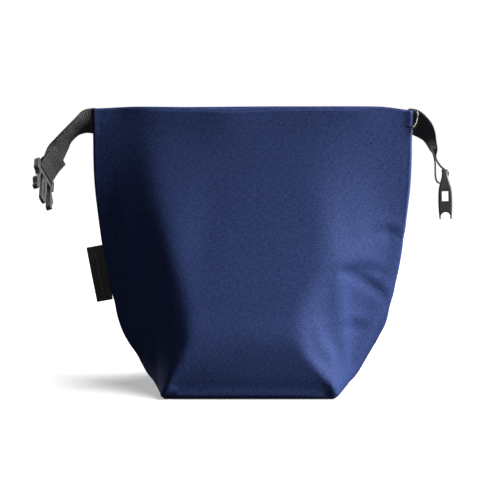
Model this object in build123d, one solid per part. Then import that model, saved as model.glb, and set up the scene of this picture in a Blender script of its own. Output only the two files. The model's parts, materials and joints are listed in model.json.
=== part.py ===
from build123d import *
import math
import os

# Insulated roll-top cooler bag. Millimetres, +Z up. The origin is the centre of the base, on the
# ground; the front panel faces -Y and the two side seams lie in the plane y = 0.

# ---------------------------------------------------------------- driving dimensions
HEIGHT = 279.0  # ground to the top hem
ROLL_Z = 229.0  # the line that the top rolls over
LIP_Z = 242.0  # the line that the mouth's lips open about
SEAM_HALF = 1.5  # half the thickness of the closed side seam

OUTER = 0.6  # woven polyester
FOAM = 3.4  # closed-cell foam
LINER = 0.4  # wipe-clean film
LAYER_GAP = 0.1  # air between layers
JOINT_GAP = 0.5  # half the space left at a fold line
SPLIT_HALF = 0.1  # half the space between the front and back halves
SEAM_MIN = 0.3  # least half thickness of a hollow at the seam

BOARD = 1.5  # stiffening board under the foam
LIP_HALF_WIDTH = 141.0  # the mouth opens between the sewn corners
CORNER_HALF_WIDTH = 142.0
HEM_TURN = 16.0  # fabric turned in over the top edge

WEBBING_WIDTH = 25.0
WEBBING = 1.4
STRAP_Z = 264.5  # middle of the webbing where it leaves the seam
STRAP_EDGE = 158.8  # where the free webbing starts, just outside the seam
TAIL_DEPTH = 10.0  # webbing caught inside the seam
TAIL_CLEARANCE = 0.1

LABEL_WIDTH = 16.0
LABEL_LENGTH = 56.0
LABEL = 0.8
LABEL_MIDDLE = (-146.6, 0.0, 114.0)  # on the label's sewn edge
LABEL_LEAN = 10.2  # degrees, along the side seam there

BAR_R = 1.75  # the bar the webbing passes round
BAR_CLEARANCE = 0.08
EYE_WIDTH = 25.3  # the folded end spreads a little wider than the webbing
BUCKLE_HALF_WIDTH = 17.5
CHEEK_INNER = 12.9
EDGE = 0.5  # moulded edges are eased by this much

# Distances along a buckle are measured from its bar, the way it points.
MALE_THICKNESS = 5.0
MALE_BACK = -3.4
CROSS_BACK = 8.0
CROSS_FRONT = 13.0
TONGUE_HALF = 4.8
TONGUE_TIP = 46.0
TONGUE_THICKNESS = 3.2
RIB_HALF = 1.3
PRONG_GAP = 0.3
FRAME_ROUND = 2.4  # the frame's corners seen from the front
TONGUE_ROUND = 3.2
RIB_SHORT = 7.0  # the rib ends this far before the tongue's tip
RIB_ROUND = 1.2
PRONG_EDGE = 0.3

FEMALE_THICKNESS = 13.0
FEMALE_BACK = -4.0
SLOT_FRONT = 11.0  # the slot that the webbing passes through ends here
FEMALE_MOUTH = 45.0  # the socket's mouth
SOCKET_HALF = (15.2, 4.2)
SOCKET_BACK = 13.5
WINDOW = (14.5, 27.2, 3.2)  # side window: from, to, half height
STOP = (8.0, 17.4)  # block that the tongue stops against: half width, front
ARCH_TOP = 38.0  # the mouth is cut back in an arch to here
SHELL_ROUND = 1.6  # along the housing's long edges

# The female half seen from the side: distance from the bar and half thickness.
FEMALE_SIDE = [(FEMALE_BACK, 3.2), (5, 3.6), (12, 5.7), (20, 6.7), (28, 6.9), (37, 6.6), (FEMALE_MOUTH, 6.0)]
# The same half seen from the front: half width and distance from the bar.
FEMALE_FRONT = [(15.2, FEMALE_BACK), (17.2, 5), (18.3, 15), (18, 26), (18.4, 37), (17.6, FEMALE_MOUTH)]
FEMALE_REACH = 18.5  # no point of the housing is further from its middle plane

# Outer shape at each level: height, half width at the seams, half width of the flat front,
# half depth.
LEVELS = [
    (0.0, 85.0, 85.0, 72.0),
    (8.0, 100.0, 80.0, 74.0),
    (25.0, 113.0, 70.0, 75.0),
    (50.0, 127.5, 58.0, 71.0),
    (100.0, 143.0, 60.0, 53.0),
    (150.0, 151.5, 74.0, 35.0),
    (200.0, 157.0, 90.0, 20.0),
    (245.0, 158.0, 112.0, 11.0),
    (HEIGHT, 158.0, 122.0, 8.0),
]
SPARE = 1.0  # how far a cutting shape runs past the ends
HUGE = 400.0

# Where each strap ends: the middle of the buckle's bar, the bar's direction, the direction the
# webbing arrives in and the direction the buckle points.
LEFT_BAR = (-204.4, -16.0, 214.8)
LEFT_BAR_LINE = (0.34, 0.55, -0.762)
LEFT_ARRIVE = (-0.50, -0.60, -0.65)
LEFT_POINTS = (0.068, -0.83, -0.54)
RIGHT_BAR = (191.0, 0.0, 212.6)
RIGHT_BAR_LINE = (0.145, 0.987, -0.063)
RIGHT_ARRIVE = (0.34, -0.11, -0.93)
RIGHT_TILT = 2.0  # degrees, the female buckle's lean
FIRST_REACH = 0.26  # how far the webbing runs on straight from the seam, and into the bar
LAST_REACH = 0.38


# ---------------------------------------------------------------- the layered bag
def section(level, inset):
    """The closed outline of one level, moved inwards by inset."""
    z, half_width, half_flat, half_depth = level
    run = half_width - half_flat
    rise = half_depth - SEAM_HALF
    slant = math.hypot(run, rise)
    flat_y = -(half_depth - inset)
    # a point on the slanting side after it has moved inwards
    x0 = half_flat - inset * rise / slant
    y0 = -half_depth + inset * run / slant
    flat_x = x0 + (flat_y - y0) * run / rise
    seam_x = half_width - inset
    seam_y = -SEAM_HALF
    if run > 0:
        seam_y = y0 + (seam_x - x0) * rise / run
    if seam_y > -SEAM_MIN:
        seam_y = -SEAM_MIN
        seam_x = x0 + (seam_y - y0) * run / rise
    quarter = [(flat_x, flat_y), (seam_x, seam_y)]
    right = quarter + [(x, -y) for x, y in reversed(quarter)]
    left = [(-x, y) for x, y in reversed(right)]
    corners = [Vector(x, y, z) for x, y in right + left]
    return Wire.make_polygon(corners, close=True)


def filled(inset, spare=0.0):
    """The bag's whole volume inside a layer, from just under the base to just over the top."""
    levels = list(LEVELS)
    if spare:
        levels.insert(0, (-spare, *LEVELS[0][1:]))
        levels.append((HEIGHT + spare, *LEVELS[-1][1:]))
    return Solid.make_loft([section(level, inset) for level in levels], ruled=True)


def block(x_range, y_range, z_range):
    """A box given by its two corners' coordinates."""
    size = [high - low for low, high in (x_range, y_range, z_range)]
    middle = [(high + low) / 2 for low, high in (x_range, y_range, z_range)]
    return Pos(*middle) * Box(*size)


def half_space(side, z_low, z_high, half_width=HUGE):
    """Everything in front of the seams (side -1) or behind them (side +1), between two heights."""
    near, far = SPLIT_HALF * side, HUGE * side
    return block((-half_width, half_width), (min(near, far), max(near, far)), (z_low, z_high))


INSETS = {
    "outer": (0.0, OUTER),
    "foam": (OUTER + LAYER_GAP, OUTER + LAYER_GAP + FOAM),
    "liner": (OUTER + FOAM + 2 * LAYER_GAP, OUTER + FOAM + 2 * LAYER_GAP + LINER),
}
HEM_INSET = INSETS["liner"][1] + LAYER_GAP / 2


def layer(name):
    """One whole layer of the bag's wall, open at the top and the bottom."""
    outside, inside = INSETS[name]
    return filled(outside) - filled(inside, SPARE)


def panel(wall, side, z_low, z_high, half_width=HUGE):
    """The front or back half of a wall between two heights."""
    return wall & half_space(side, z_low, z_high, half_width)


def slab(inset, z_low, z_high):
    """A flat piece that fills the bag inside a layer, between two heights."""
    return filled(inset, SPARE) & block((-HUGE, HUGE), (-HUGE, HUGE), (z_low, z_high))


def base_pieces():
    """The base's layers, from the ground up."""
    half_gap = LAYER_GAP / 2
    board_z = OUTER + LAYER_GAP
    foam_z = board_z + BOARD + LAYER_GAP
    liner_z = foam_z + FOAM + LAYER_GAP
    inside_foam = INSETS["foam"][1] + half_gap
    return {
        "outer_base": slab(OUTER + half_gap, 0.0, OUTER),
        "base_board": slab(inside_foam, board_z, board_z + BOARD),
        "foam_base": slab(inside_foam, foam_z, foam_z + FOAM),
        "liner_base": slab(INSETS["liner"][1] + half_gap, liner_z, liner_z + LINER),
    }


def hem(side):
    """The outer fabric turned in over the top edge and stitched down."""
    deep = HEM_INSET + OUTER
    strip = filled(HEM_INSET) - filled(deep, SPARE)
    cap = filled(0.0) - filled(deep, SPARE)
    turned = panel(strip, side, HEIGHT - HEM_TURN, HEIGHT, LIP_HALF_WIDTH)
    return turned + panel(cap, side, HEIGHT - OUTER, HEIGHT, LIP_HALF_WIDTH)


def wall_pieces():
    """Front and back panels of each layer, parted at the two lines where the bag folds."""
    lowest = {"outer": 0.0, "foam": OUTER + LAYER_GAP}
    lowest["liner"] = lowest["foam"] + BOARD + FOAM + 2 * LAYER_GAP
    lip_top = HEIGHT - OUTER - LAYER_GAP / 2
    pieces = {}
    for name in INSETS:
        wall = layer(name)
        for word, side in (("front", -1), ("back", 1)):
            body = panel(wall, side, lowest[name], ROLL_Z - JOINT_GAP)
            band = panel(wall, side, ROLL_Z + JOINT_GAP, LIP_Z - JOINT_GAP)
            lip = panel(wall, side, LIP_Z + JOINT_GAP, lip_top, LIP_HALF_WIDTH)
            pieces[f"{name}_{word}"] = body
            pieces[f"crown_{name}_{word}"] = band
            pieces[f"lip_{name}_{word}"] = lip
    pieces["hem_front"] = hem(-1)
    pieces["hem_back"] = hem(1)
    return pieces


def corner_pieces():
    """The top of each side seam, where all the layers and the webbing's end are sewn together."""
    low = LIP_Z - JOINT_GAP + LAYER_GAP
    pieces = {}
    for word, side in (("left", -1), ("right", 1)):
        x_range = sorted((side * CORNER_HALF_WIDTH, side * HUGE))
        corner = filled(0.0) & block(x_range, (-HUGE, HUGE), (low, HEIGHT))
        seam_x = LEVELS[-1][1]
        tail_x = sorted((side * (seam_x - TAIL_DEPTH), side * seam_x))
        half_z = WEBBING_WIDTH / 2
        tail = block(tail_x, (-WEBBING / 2, WEBBING / 2), (STRAP_Z - half_z, STRAP_Z + half_z))
        room_x = sorted((side * (seam_x - TAIL_DEPTH - TAIL_CLEARANCE), side * HUGE))
        half_y = WEBBING / 2 + TAIL_CLEARANCE
        half_z += TAIL_CLEARANCE
        room = block(room_x, (-half_y, half_y), (STRAP_Z - half_z, STRAP_Z + half_z))
        pieces[f"seam_corner_{word}"] = corner - room
        pieces[f"webbing_tail_{word}"] = tail
    return pieces


def label():
    """The folded woven label caught in the left side seam."""
    flap = Pos(-LABEL_WIDTH / 2, 0, 0) * Box(LABEL_WIDTH, LABEL, LABEL_LENGTH)
    return Pos(*LABEL_MIDDLE) * Rot(0, -LABEL_LEAN, 0) * flap


# ---------------------------------------------------------------- the straps
def blend(a, b, share):
    """A mix of two vectors; share 0 gives the first."""
    return a * (1 - share) + b * share


def strap(side, bar, bar_line, arrive):
    """Flat webbing from the seam to a sewn loop round the buckle's bar."""
    start = Vector(side * STRAP_EDGE, 0, STRAP_Z)
    end = Vector(*bar)
    line = Vector(*bar_line).normalized()
    into = Vector(*arrive).normalized()
    reach = (end - start).length
    out = Vector(side, 0, 0) * (reach * FIRST_REACH)
    control = [start, start + out, end - into * (reach * LAST_REACH), end]
    first_width = Vector(0, 0, -1)
    # along the strap: share of the way, number of layers of webbing
    stations = [(0.0, 1), (0.12, 1), (0.25, 1), (0.38, 1), (0.5, 1), (0.6, 1), (0.62, 2)]
    stations += [(0.75, 2), (0.88, 2), (1.0, 2)]
    outlines = []
    for share, layers in stations:
        rest = 1 - share
        weights = [rest**3, 3 * rest**2 * share, 3 * rest * share**2, share**3]
        middle = sum((p * w for p, w in zip(control, weights)), Vector(0, 0, 0))
        slopes = [3 * rest**2, 6 * rest * share, 3 * share**2]
        steps = [control[i + 1] - control[i] for i in range(3)]
        along = sum((s * w for s, w in zip(steps, slopes)), Vector(0, 0, 0)).normalized()
        twist = share * share * (3 - 2 * share)
        wide = blend(first_width, line, twist)
        wide = (wide - along * wide.dot(along)).normalized()
        thick = along.cross(wide) * (layers * WEBBING / 2)
        wide = wide * (WEBBING_WIDTH / 2)
        corners = [middle + wide + thick, middle - wide + thick]
        corners += [middle - wide - thick, middle + wide - thick]
        outlines.append(Wire.make_polygon(corners, close=True))
    band = Solid.make_loft(outlines, ruled=True)
    place = Plane(origin=end, z_dir=line)
    hole_r = BAR_R + BAR_CLEARANCE
    eye = place * Cylinder(hole_r + WEBBING, EYE_WIDTH)
    hole = place * Cylinder(hole_r, WEBBING_WIDTH + 2 * SPARE)
    return band + eye - hole


# ---------------------------------------------------------------- the side-release buckle
def buckle_place(bar, bar_line, points):
    """A buckle's own frame: x along its bar, y the way it points, z through its thickness."""
    line = Vector(*bar_line).normalized()
    nose = Vector(*points)
    nose = (nose - line * nose.dot(line)).normalized()
    return Plane(origin=Vector(*bar), x_dir=line, z_dir=line.cross(nose))


def upright(half_profile, axis_first):
    """A closed face from one side of a symmetrical outline; its curve is smooth."""
    near = [Vector(*p) for p in half_profile]
    far = [Vector(-x, y) if axis_first else Vector(x, -y) for x, y in half_profile]
    edges = [Spline(near), Line(near[-1], far[-1]), Spline(far), Line(far[0], near[0])]
    return make_face(Curve() + edges)


def male_frame():
    """Bar, cheeks, cross member and the stiff middle tongue, moulded as one."""
    half = MALE_THICKNESS / 2
    length = CROSS_FRONT - MALE_BACK
    plate = Pos(0, MALE_BACK + length / 2, 0) * Box(2 * BUCKLE_HALF_WIDTH, length, MALE_THICKNESS)
    plate = fillet(plate.edges().filter_by(Axis.Z), FRAME_ROUND)
    plate = fillet(plate.edges().group_by(Axis.Z)[-1] + plate.edges().group_by(Axis.Z)[0], EDGE)
    slot = block((-CHEEK_INNER, CHEEK_INNER), (MALE_BACK - SPARE, CROSS_BACK), (-HUGE, HUGE))
    bar = Rot(0, 90, 0) * Cylinder(BAR_R, 2 * CHEEK_INNER + SPARE)
    tongue_y = (CROSS_FRONT - SPARE, TONGUE_TIP)
    flat = TONGUE_THICKNESS / 2
    tongue = block((-TONGUE_HALF, TONGUE_HALF), tongue_y, (-flat, flat))
    tongue = fillet(tongue.edges().filter_by(Axis.Z).group_by(Axis.Y)[-1], TONGUE_ROUND)
    tongue = fillet(tongue.edges().group_by(Axis.Z)[-1] + tongue.edges().group_by(Axis.Z)[0], EDGE)
    rib = block((-RIB_HALF, RIB_HALF), (CROSS_FRONT - SPARE, TONGUE_TIP - RIB_SHORT), (-half, half))
    rib = fillet(rib.edges().group_by(Axis.Y)[-1].filter_by(Axis.X), RIB_ROUND)
    return plate - slot + bar + tongue + rib


def prong(side):
    """One springy side arm with its release pad and barb."""
    root = CROSS_FRONT + PRONG_GAP
    inner = [(10.6, root), (10.9, 24.0), (11.4, 32.0), (11.6, 39.0)]
    outer = [(15.6, 37.0), (17.2, 31.5), (17.5, 27.5), (15.2, 22.5), (14.3, root)]
    half = MALE_THICKNESS / 2
    inner = [Vector(side * x, y, -half) for x, y in inner]
    outer = [Vector(side * x, y, -half) for x, y in outer]
    tip = Vector(side * 13.0, 41.5, -half)
    outline = Curve() + [
        Spline(inner),
        ThreePointArc(inner[-1], tip, outer[0]),
        Spline(outer),
        Line(outer[-1], inner[0]),
    ]
    arm = extrude(make_face(outline), amount=MALE_THICKNESS, dir=(0, 0, 1))
    flat_edges = arm.edges().group_by(Axis.Z)
    return fillet(flat_edges[-1] + flat_edges[0], PRONG_EDGE)


def female_housing():
    """Bar, cheeks and the hollow housing with its side windows, moulded as one."""
    seen_from_front = extrude(upright(FEMALE_FRONT, True), amount=FEMALE_THICKNESS, both=True)
    side_face = Plane.YZ * upright(FEMALE_SIDE, False)
    shell = seen_from_front & extrude(side_face, amount=2 * FEMALE_REACH, both=True)
    shell = fillet(shell.edges().filter_by(lambda e: e.length > FEMALE_MOUTH * 0.9), SHELL_ROUND)
    slot_y = (FEMALE_BACK - SPARE, SLOT_FRONT)
    shell -= block((-CHEEK_INNER, CHEEK_INNER), slot_y, (-HUGE, HUGE))
    socket_x, socket_z = SOCKET_HALF
    socket_y = (SOCKET_BACK, FEMALE_MOUTH + SPARE)
    shell -= block((-socket_x, socket_x), socket_y, (-socket_z, socket_z))
    through = FEMALE_REACH + SPARE
    low, high, tall = WINDOW
    shell -= block((-through, through), (low, high), (-tall, tall))
    arch_r = socket_z + EDGE
    shell -= Pos(0, ARCH_TOP + arch_r, 0) * Rot(0, 90, 0) * Cylinder(arch_r, 2 * through)
    arch_y = (ARCH_TOP + arch_r, FEMALE_MOUTH + SPARE)
    shell -= block((-through, through), arch_y, (-arch_r, arch_r))
    stop_half, stop_front = STOP
    stop = block((-stop_half, stop_half), (SOCKET_BACK - SPARE, stop_front), (-socket_z, socket_z))
    bar = Rot(0, 90, 0) * Cylinder(BAR_R, 2 * CHEEK_INNER + SPARE)
    return shell + stop + bar


def buckle_pieces():
    left = buckle_place(LEFT_BAR, LEFT_BAR_LINE, LEFT_POINTS)
    tilt = math.radians(RIGHT_TILT)
    right = buckle_place(RIGHT_BAR, RIGHT_BAR_LINE, (math.sin(tilt), 0, -math.cos(tilt)))
    return {
        "male_frame": left * male_frame(),
        "prong_rear": left * prong(1),
        "prong_front": left * prong(-1),
        "female_housing": right * female_housing(),
    }


def strap_pieces():
    return {
        "webbing_left": strap(-1, LEFT_BAR, LEFT_BAR_LINE, LEFT_ARRIVE),
        "webbing_right": strap(1, RIGHT_BAR, RIGHT_BAR_LINE, RIGHT_ARRIVE),
    }


# ---------------------------------------------------------------- writing the parts
def main():
    os.makedirs("parts", exist_ok=True)
    pieces = {**wall_pieces(), **base_pieces(), **corner_pieces()}
    pieces["label"] = label()
    pieces.update(strap_pieces())
    pieces.update(buckle_pieces())
    for name, shape in pieces.items():
        export_step(shape, f"parts/{name}.step")


main()
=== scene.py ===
import math
import random

import bpy
import numpy as np
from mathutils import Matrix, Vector
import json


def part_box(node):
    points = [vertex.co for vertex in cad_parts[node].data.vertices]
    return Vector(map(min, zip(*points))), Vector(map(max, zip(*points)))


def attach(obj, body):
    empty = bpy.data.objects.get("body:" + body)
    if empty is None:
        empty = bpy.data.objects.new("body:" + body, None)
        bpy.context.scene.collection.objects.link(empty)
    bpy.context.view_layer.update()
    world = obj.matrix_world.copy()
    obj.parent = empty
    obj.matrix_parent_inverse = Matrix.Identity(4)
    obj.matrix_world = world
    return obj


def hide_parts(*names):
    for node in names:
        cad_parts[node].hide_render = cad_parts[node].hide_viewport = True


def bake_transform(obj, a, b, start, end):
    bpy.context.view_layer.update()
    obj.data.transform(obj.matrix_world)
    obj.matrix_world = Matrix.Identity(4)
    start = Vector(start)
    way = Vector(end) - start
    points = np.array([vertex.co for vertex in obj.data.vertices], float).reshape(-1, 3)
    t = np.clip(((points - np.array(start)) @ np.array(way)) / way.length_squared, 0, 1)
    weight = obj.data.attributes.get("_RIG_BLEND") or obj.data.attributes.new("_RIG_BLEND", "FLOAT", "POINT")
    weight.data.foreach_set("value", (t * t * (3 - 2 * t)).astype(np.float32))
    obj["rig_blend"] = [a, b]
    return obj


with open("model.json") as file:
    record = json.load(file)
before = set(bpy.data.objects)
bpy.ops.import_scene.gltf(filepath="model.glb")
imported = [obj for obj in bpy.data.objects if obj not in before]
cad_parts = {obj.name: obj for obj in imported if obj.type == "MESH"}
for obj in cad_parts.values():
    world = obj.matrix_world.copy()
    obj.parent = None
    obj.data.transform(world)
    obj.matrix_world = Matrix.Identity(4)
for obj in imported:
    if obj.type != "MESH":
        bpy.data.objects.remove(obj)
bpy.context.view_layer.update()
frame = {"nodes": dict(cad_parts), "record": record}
JOINTS = {joint["name"]: joint for joint in frame["record"]["behaviour"]["joints"]}

# ---- sizes, in metres
MM = 0.001
FRONT, BACK = -1, 1
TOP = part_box("hem_front")[1].z
ROLL_Z = JOINTS["top_roll"]["pos_m"][2]
LIP_Z = JOINTS["mouth_front"]["pos_m"][2]
STRAP_Z = JOINTS["left_strap_swing"]["pos_m"][2]
SEAM_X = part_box("seam_corner_right")[1].x

CLOTH = 0.6 * MM
FOAM_OUT, FOAM_IN = 0.9 * MM, 3.9 * MM
LINER_OUT, LINER_IN = 4.2 * MM, 4.6 * MM
HEM_DEPTH = 5.2 * MM
HEM_TURN = 16 * MM
STEP = 2.5 * MM  # spacing of the fine grid
ROLL_ZONE = (ROLL_Z - 13 * MM, ROLL_Z + 9 * MM)  # the fabric turns over between these heights
SPLIT_Z = LIP_Z + 2 * MM  # the lower panels end and the mouth's panels begin
LIP_ZONE = (LIP_Z + 5 * MM, LIP_Z + 25 * MM)
CORNER_FADE = (SEAM_X - 12 * MM, SEAM_X - 90 * MM)  # the lips open less and less towards the seams

GROUND_GAP = 0.8 * MM  # the panels stop this far above the ground
SETTLE_FRAMES = 22  # length of the cloth simulation
SETTLE_CAP = 3 * MM  # the cloth simulation moves no point further than this
SEAM_HAIR = 0.35 * MM  # the outside of the panels stays this far from the bag's middle plane
WEB_ROOM = 0.65 * MM  # added to it where the webbing's end is caught
ALLOWANCE = 2.2 * MM  # width of the strip turned in at the side seams
ALLOWANCE_LEAN = 0.1 * MM  # its edge lies this much nearer to the middle plane
INSIDE_GAP = 0.1 * MM  # the inside of the panels stays this far from the middle plane
HEM_STITCH_DROP = 1.9 * MM  # the hem's stitches lie this far under the top

WEB_HALF = 12.5 * MM
WEB = 1.4 * MM
RIB_STEP = 0.42 * MM  # distance between the ribbons' cross-sections
SEED = 7
WORLD_DIM = 0.014
WORLD_GLOSS = 0.30
FLOOR_GLOW = (0.42, 1.0)  # near the bag and far off
NAVY_TONES = [(0.44, (0.010, 0.019, 0.072)), (0.57, (0.021, 0.040, 0.140)), (0.70, (0.050, 0.081, 0.245))]


# ---- small tools
def smooth_step(low, high, value):
    t = np.clip((value - low) / (high - low), 0, 1)
    return t * t * (3 - 2 * t)


def catmull(points, at):
    """A smooth curve through points (first axis), read at fractional indices."""
    points = np.asarray(points, float)
    at = np.clip(np.asarray(at, float), 0, len(points) - 1)
    i = np.minimum(at.astype(int), len(points) - 2)
    t = (at - i).reshape((-1,) + (1,) * (points.ndim - 1))
    before = np.where((i > 0).reshape(t.shape), points[np.maximum(i - 1, 0)], 2 * points[i] - points[i + 1])
    last = (i + 2 < len(points)).reshape(t.shape)
    after = np.where(last, points[np.minimum(i + 2, len(points) - 1)], 2 * points[i + 1] - points[i])
    a, b = points[i], points[i + 1]
    m0, m1 = (b - before) / 2, (after - a) / 2
    t2, t3 = t * t, t * t * t
    return a * (2 * t3 - 3 * t2 + 1) + m0 * (t3 - 2 * t2 + t) + b * (3 * t2 - 2 * t3) + m1 * (t3 - t2)


def unit(v):
    v = np.asarray(v, float)
    return v / np.maximum(np.linalg.norm(v, axis=-1, keepdims=True), 1e-12)


def piece(name, points, faces, material, uvs=None):
    """A mesh object from points and faces, with its material and an optional UV per point."""
    mesh = bpy.data.meshes.new(name)
    mesh.from_pydata([tuple(p) for p in points], [], faces)
    if uvs is not None:
        layer = mesh.uv_layers.new(name="cloth")
        corner = np.zeros(len(mesh.loops), np.int32)
        mesh.loops.foreach_get("vertex_index", corner)
        layer.data.foreach_set("uv", np.asarray(uvs, np.float32)[corner].ravel())
    mesh.polygons.foreach_set("use_smooth", [True] * len(mesh.polygons))
    mesh.update()
    obj = bpy.data.objects.new(name, mesh)
    bpy.context.scene.collection.objects.link(obj)
    obj.data.materials.append(material)
    return obj


def join_meshes(parts):
    """Several (points, faces) lists as one."""
    points, faces = [], []
    for part_points, part_faces in parts:
        offset = len(points)
        points += [tuple(p) for p in part_points]
        faces += [tuple(i + offset for i in face) for face in part_faces]
    return points, faces


def grid_faces(rows, cols, start=0, flip=False, wrap=False):
    faces = []
    for r in range(rows - 1):
        for c in range(cols if wrap else cols - 1):
            d = (c + 1) % cols
            low, high = start + r * cols, start + (r + 1) * cols
            quad = (low + c, low + d, high + d, high + c)
            faces.append(quad[::-1] if flip else quad)
    return faces


# ---- the bag's form
# Height in metres, then in millimetres: half width at the seams, half width of the front's flat on
# the left and on the right, half depth.
FORM = [
    (0.000, 92, 86, 79, 69.0),
    (0.002, 97, 88, 81.5, 71.6),
    (0.005, 101, 88, 82, 73.6),
    (0.012, 106.5, 84, 79.5, 74.6),
    (0.025, 114, 78, 69, 75.0),
    (0.038, 121.5, 72, 59, 73.9),
    (0.050, 128.5, 67, 51, 71.5),
    (0.064, 134.5, 65, 48, 67.3),
    (0.080, 138.5, 66, 49, 61.0),
    (0.100, 143, 70, 56, 53.5),
    (0.125, 148, 77, 70, 44.0),
    (0.150, 151.5, 85, 74, 35.0),
    (0.175, 154.5, 93, 70, 27.0),
    (0.200, 157, 98, 67, 20.5),
    (0.225, 158, 102, 72, 14.8),
    (0.245, 158, 104, 84, 11.2),
    (0.262, 158, 103, 95, 8.8),
    (TOP, 158, 101, 103, 7.4),
]


def form_at(z):
    table = np.array(FORM, float)
    heights = table[:, 0]
    slopes = np.gradient(table[:, 1:], heights, axis=0)
    i = min(max(int(np.searchsorted(heights, z)) - 1, 0), len(heights) - 2)
    step = heights[i + 1] - heights[i]
    t = (z - heights[i]) / step
    low, high = table[i, 1:], table[i + 1, 1:]
    rise = low * (2 * t**3 - 3 * t**2 + 1) + high * (3 * t**2 - 2 * t**3)
    return (rise + step * (slopes[i] * (t**3 - 2 * t**2 + t) + slopes[i + 1] * (t**3 - t**2))) * MM


def half_section(z, side, count):
    """One half of the bag's outline at a height, from the left seam to the right seam."""
    half_width, flat_left, flat_right, depth = form_at(z)
    if side == BACK:
        flat_left = flat_right = (flat_left + flat_right) / 2
    # near the top the left seam lies flat for a little way before the panel rises
    calm = 24 * MM * smooth_step(0.17, 0.25, z)
    corners = [(-half_width, 0), (-half_width + calm, 0.06 * calm), (-flat_left, depth)]
    corners += [(flat_right, depth), (half_width, 0)]
    if side == BACK or calm < MM:
        corners.pop(1)
    corners = np.array(corners)
    lengths = np.linalg.norm(np.diff(corners, axis=0), axis=1)
    along = np.concatenate([[0], np.cumsum(lengths)])
    dense = np.linspace(0, along[-1], 240)
    line = np.stack([np.interp(dense, along, corners[:, k]) for k in (0, 1)], axis=1)
    spread = np.interp(z, [0, 0.02, 0.06, 0.10, 0.2, TOP], [1.5, 3, 6, 9, 10, 11]) * MM
    spacing = along[-1] / (len(dense) - 1)
    for _ in range(int(2 * (spread / spacing) ** 2) + 1):
        line[1:-1] = (line[:-2] + 2 * line[1:-1] + line[2:]) / 4
    steps = np.linalg.norm(np.diff(line, axis=0), axis=1)
    along = np.concatenate([[0], np.cumsum(steps)])
    at = np.linspace(0, along[-1], count)
    line = np.stack([np.interp(at, along, line[:, k]) for k in (0, 1)], axis=1)
    return np.stack([line[:, 0], side * line[:, 1], np.full(count, z)], axis=1)


# Soft dents and rolls in the padded wall: middle x and z, length, half width and depth in mm,
# and the way they run, in degrees from +X.
FRONT_DENTS = [
    (138, 154, 36, 6, 1.7, -14),
    (112, 118, 46, 6.5, 2.0, -10),
    (116, 104, 58, 6, 2.4, -36),
    (100, 62, 54, 6.5, 2.5, -8),
    (66, 38, 22, 5, 1.6, -48),
    (92, 134, 60, 9, -1.0, 20),
    (-126, 96, 60, 8, 2.0, 34),
    (-104, 52, 50, 7, 1.8, 50),
    (-112, 75, 50, 7, -1.4, 40),
    (-143, 262, 30, 7, -0.8, 80),
    (10, 36, 120, 14, 0.8, 3),
    (-50, 150, 130, 16, 0.7, 84),
]
BACK_DENTS = [(-x * 0.93, z * 1.06, *size, 180 - turn) for x, z, *size, turn in FRONT_DENTS]


def dented(grid, normals, dents):
    moved = grid.copy()
    for x, z, length, wide, deep, turn in dents:
        turn = math.radians(turn)
        dx, dz = grid[..., 0] - x * MM, grid[..., 2] - z * MM
        along = dx * math.cos(turn) + dz * math.sin(turn)
        bow = along**2 / (length * MM) * 0.35
        across = -dx * math.sin(turn) + dz * math.cos(turn) + bow
        share = np.exp(-((along / (length * MM / 2)) ** 2) - (across / (wide * MM)) ** 2)
        ridge = np.exp(-((along / (length * MM / 2)) ** 2) - ((across - 1.6 * wide * MM) / (wide * MM)) ** 2)
        moved -= normals * ((share - 0.55 * ridge) * deep * MM)[..., None]
    return moved


def grid_normals(grid, side):
    """Outward normals of a half's grid."""
    across = np.gradient(grid, axis=1)
    up = np.gradient(grid, axis=0)
    normal = unit(np.cross(across, up))
    return normal if side == FRONT else -normal


def simulate(front, back):
    """Lets the padded skin settle as cloth, held at the base, at the mouth and along the seams."""
    rows, cols = front.shape[:2]
    ring = np.concatenate([front, back[:, ::-1][:, 1:-1]], axis=1)
    count = ring.shape[1]
    mesh = bpy.data.meshes.new("settling")
    mesh.from_pydata([tuple(p) for p in ring.reshape(-1, 3)], [], grid_faces(rows, count, wrap=True))
    obj = bpy.data.objects.new("settling", mesh)
    bpy.context.scene.collection.objects.link(obj)
    held = obj.vertex_groups.new(name="held")
    for r in range(rows):
        share = max(0.0, 1 - r / 2, 1 - (rows - 1 - r) / 4)
        for c in range(count):
            at_seam = c == 0 or c == cols - 1
            weight = 1.0 if at_seam else share
            if weight > 0:
                held.add([r * count + c], weight, "REPLACE")
    cloth = obj.modifiers.new("cloth", "CLOTH")
    settings = {"quality": 6, "mass": 0.25, "tension_stiffness": 25, "compression_stiffness": 25}
    settings |= {"shear_stiffness": 12, "bending_stiffness": 12, "shrink_min": 0.004}
    settings |= {"vertex_group_mass": "held", "use_pressure": True, "uniform_pressure_force": 0.8}
    for name, value in settings.items():
        setattr(cloth.settings, name, value)
    cloth.settings.effector_weights.gravity = 0.2
    cloth.collision_settings.use_collision = False
    scene = bpy.context.scene
    cloth.point_cache.frame_start, cloth.point_cache.frame_end = 1, SETTLE_FRAMES
    for number in range(1, SETTLE_FRAMES + 1):
        scene.frame_set(number)
    settled = obj.evaluated_get(bpy.context.evaluated_depsgraph_get()).to_mesh()
    found = np.zeros(len(settled.vertices) * 3)
    settled.vertices.foreach_get("co", found)
    found = found.reshape(ring.shape)
    scene.frame_set(1)
    bpy.data.objects.remove(obj)
    moved = found - ring
    size = np.linalg.norm(moved, axis=2, keepdims=True)
    moved *= np.tanh(size / SETTLE_CAP) * SETTLE_CAP / np.maximum(size, 1e-9)
    ring = ring + moved
    new_back = np.concatenate([ring[:, :1], ring[:, cols:][:, ::-1], ring[:, cols - 1 : cols]], axis=1)
    return ring[:, :cols], new_back


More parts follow.
